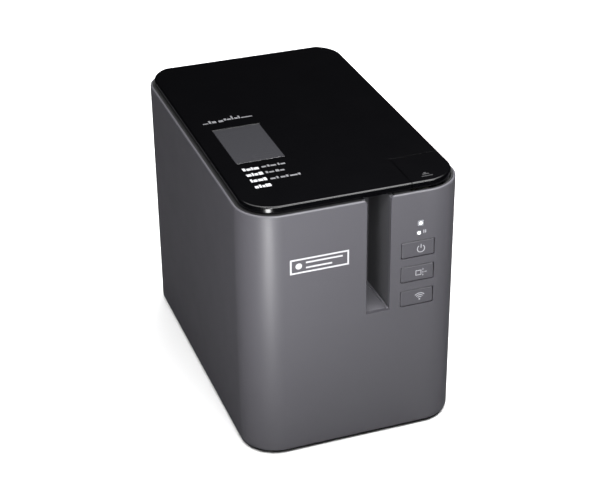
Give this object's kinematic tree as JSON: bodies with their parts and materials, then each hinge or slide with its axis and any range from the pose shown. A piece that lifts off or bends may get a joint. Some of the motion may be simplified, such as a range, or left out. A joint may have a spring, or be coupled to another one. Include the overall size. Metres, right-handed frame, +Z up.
{
  "type": "label maker",
  "caption": "Upright desktop label maker with rounded corners, a hinged black top cover with a viewer window, a tall tape exit slot and push buttons on the front.",
  "frame": {"origin": "on the table under the centre of the body's outline", "axes": "+Z up; the tape exit and the buttons face -Y; +X is to the right of someone facing them"},
  "size_m": [0.118, 0.192, 0.146],
  "materials": {
    "housing_plastic": "fine spark texture",
    "black_plastic": "fine texture",
    "gloss_black": "polished",
    "window": "smoked acrylic, polished",
    "rubber": "matt",
    "steel_sheet": "zinc plated",
    "bright_steel": "ground",
    "motor_can": "plated",
    "acetal": "natural",
    "brass_gear": "machined",
    "head_alloy": "extruded",
    "ceramic_strip": "glazed",
    "cassette_plastic": "moulded",
    "label_tape": "laminated film",
    "ribbon_film": "film",
    "circuit_board": "solder mask",
    "chip_plastic": "moulded epoxy",
    "light_pipe": "clear, lit",
    "socket_plastic": "moulded"
  },
  "bodies": {
    "body": {"housing": "housing_plastic", "bottom_cover": "black_plastic", "rubber_feet": "rubber", "bottom_screws": "bright_steel", "rear_panel": "black_plastic", "top_deck": "black_plastic", "exit_chute": "housing_plastic", "slot_liner": "black_plastic", "release_spring": "bright_steel", "status_lights": "light_pipe", "button_board": "circuit_board", "tact_switches": "chip_plastic", "steel_chassis": "steel_sheet", "mechanism_plate": "steel_sheet", "gear_plate": "steel_sheet", "gear_axles": "bright_steel", "feed_motor": "motor_can", "print_head": "head_alloy", "head_element": "ceramic_strip", "holder_pin": "bright_steel", "cutter_frame": "steel_sheet", "fixed_blade": "bright_steel", "cutter_pivot": "bright_steel", "cutter_motor": "motor_can", "cassette_base": "cassette_plastic", "cassette_lid": "cassette_plastic", "tape_roll": "label_tape", "ribbon_core": "ribbon_film", "tape_strip": "label_tape", "main_board": "circuit_board", "board_parts": "chip_plastic", "board_standoffs": "bright_steel", "power_socket": "socket_plastic", "usb_socket": "motor_can", "serial_socket": "socket_plastic", "wireless_module": "circuit_board", "cassette_sensor": "acetal"},
    "cover": {"cover": "gloss_black", "cover_liner": "black_plastic", "viewer_window": "window", "hinge_pins": "bright_steel", "release_rod": "acetal"},
    "release_button": {"release_button": "gloss_black"},
    "latch_slider": {"latch_slider": "acetal"},
    "power_button": {"power_button": "housing_plastic"},
    "cut_button": {"cut_button": "housing_plastic"},
    "wireless_button": {"wireless_button": "housing_plastic"},
    "motor_pinion": {"motor_pinion": "brass_gear"},
    "idler_gear": {"idler_gear": "acetal"},
    "ribbon_spindle": {"ribbon_spindle": "acetal"},
    "roller_holder": {"roller_holder": "acetal"},
    "platen": {"platen_roller": "rubber", "platen_gear": "acetal"},
    "feed_roller": {"feed_roller": "rubber", "feed_roller_gear": "acetal"},
    "transfer_gear": {"transfer_gear": "acetal"},
    "cutter_blade": {"cutter_lever": "acetal", "moving_blade": "bright_steel"},
    "cutter_pinion": {"cutter_pinion": "brass_gear"}
  },
  "joints": [
    {"name": "cover_hinge", "type": "hinge", "parent": "body", "child": "cover", "pos_m": [0, 0.0903, 0.1429], "axis": [-1, 0, 0], "range_deg": [0, 75]},
    {"name": "release_button_press", "type": "slide", "parent": "body", "child": "release_button", "axis": [0, 0, -1], "range_m": [0, 0.0018], "stiffness_N_per_m": 350, "springref_m": -0.004, "deforming": ["release_spring"]},
    {"name": "latch_slide", "type": "slide", "parent": "body", "child": "latch_slider", "axis": [1, 0, 0], "range_m": [0, 0.0018]},
    {"name": "power_button_press", "type": "slide", "parent": "body", "child": "power_button", "axis": [0, 1, 0], "range_m": [0, 0.0005], "stiffness_N_per_m": 400, "springref_m": -0.002},
    {"name": "cut_button_press", "type": "slide", "parent": "body", "child": "cut_button", "axis": [0, 1, 0], "range_m": [0, 0.0005], "stiffness_N_per_m": 400, "springref_m": -0.002},
    {"name": "wireless_button_press", "type": "slide", "parent": "body", "child": "wireless_button", "axis": [0, 1, 0], "range_m": [0, 0.0005], "stiffness_N_per_m": 400, "springref_m": -0.002},
    {"name": "idler_spin", "type": "hinge", "parent": "body", "child": "idler_gear", "pos_m": [0.00479, -0.0276, 0.072], "axis": [0, 0, 1], "continuous": true},
    {"name": "motor_spin", "type": "hinge", "parent": "body", "child": "motor_pinion", "pos_m": [0.01452, -0.01464, 0.072], "axis": [0, 0, 1], "continuous": true},
    {"name": "ribbon_spin", "type": "hinge", "parent": "body", "child": "ribbon_spindle", "pos_m": [-0.01788, -0.02521, 0.072], "axis": [0, 0, 1], "continuous": true},
    {"name": "holder_swing", "type": "hinge", "parent": "body", "child": "roller_holder", "pos_m": [0.02, -0.004, 0.082], "axis": [0, 0, 1], "range_deg": [0, 17]},
    {"name": "platen_spin", "type": "hinge", "parent": "roller_holder", "child": "platen", "pos_m": [0.0166, -0.032, 0.08], "axis": [0, 0, 1], "continuous": true},
    {"name": "feed_roller_spin", "type": "hinge", "parent": "roller_holder", "child": "feed_roller", "pos_m": [0.0151, -0.046, 0.08], "axis": [0, 0, 1], "continuous": true},
    {"name": "transfer_spin", "type": "hinge", "parent": "roller_holder", "child": "transfer_gear", "pos_m": [0.02258, -0.04099, 0.08], "axis": [0, 0, 1], "continuous": true},
    {"name": "cutter_swing", "type": "hinge", "parent": "body", "child": "cutter_blade", "pos_m": [0.005, -0.062, 0.078], "axis": [0, 1, 0], "range_deg": [0, 12]},
    {"name": "cutter_pinion_spin", "type": "hinge", "parent": "body", "child": "cutter_pinion", "pos_m": [-0.00556, -0.062, 0.05534], "axis": [0, 1, 0], "range_deg": [-31, 0]}
  ],
  "couplings": [
    {"joint": "latch_slide", "follows": "release_button_press", "ratio": 1},
    {"joint": "holder_swing", "follows": "cover_hinge", "ratio": 0.2266},
    {"joint": "motor_spin", "follows": "idler_spin", "ratio": -2.8571},
    {"joint": "ribbon_spin", "follows": "idler_spin", "ratio": -1.1111},
    {"joint": "platen_spin", "follows": "idler_spin", "ratio": -0.90909},
    {"joint": "transfer_spin", "follows": "idler_spin", "ratio": 1.4286},
    {"joint": "feed_roller_spin", "follows": "idler_spin", "ratio": -1.25},
    {"joint": "cutter_pinion_spin", "follows": "cutter_swing", "ratio": -2.5714}
  ]
}
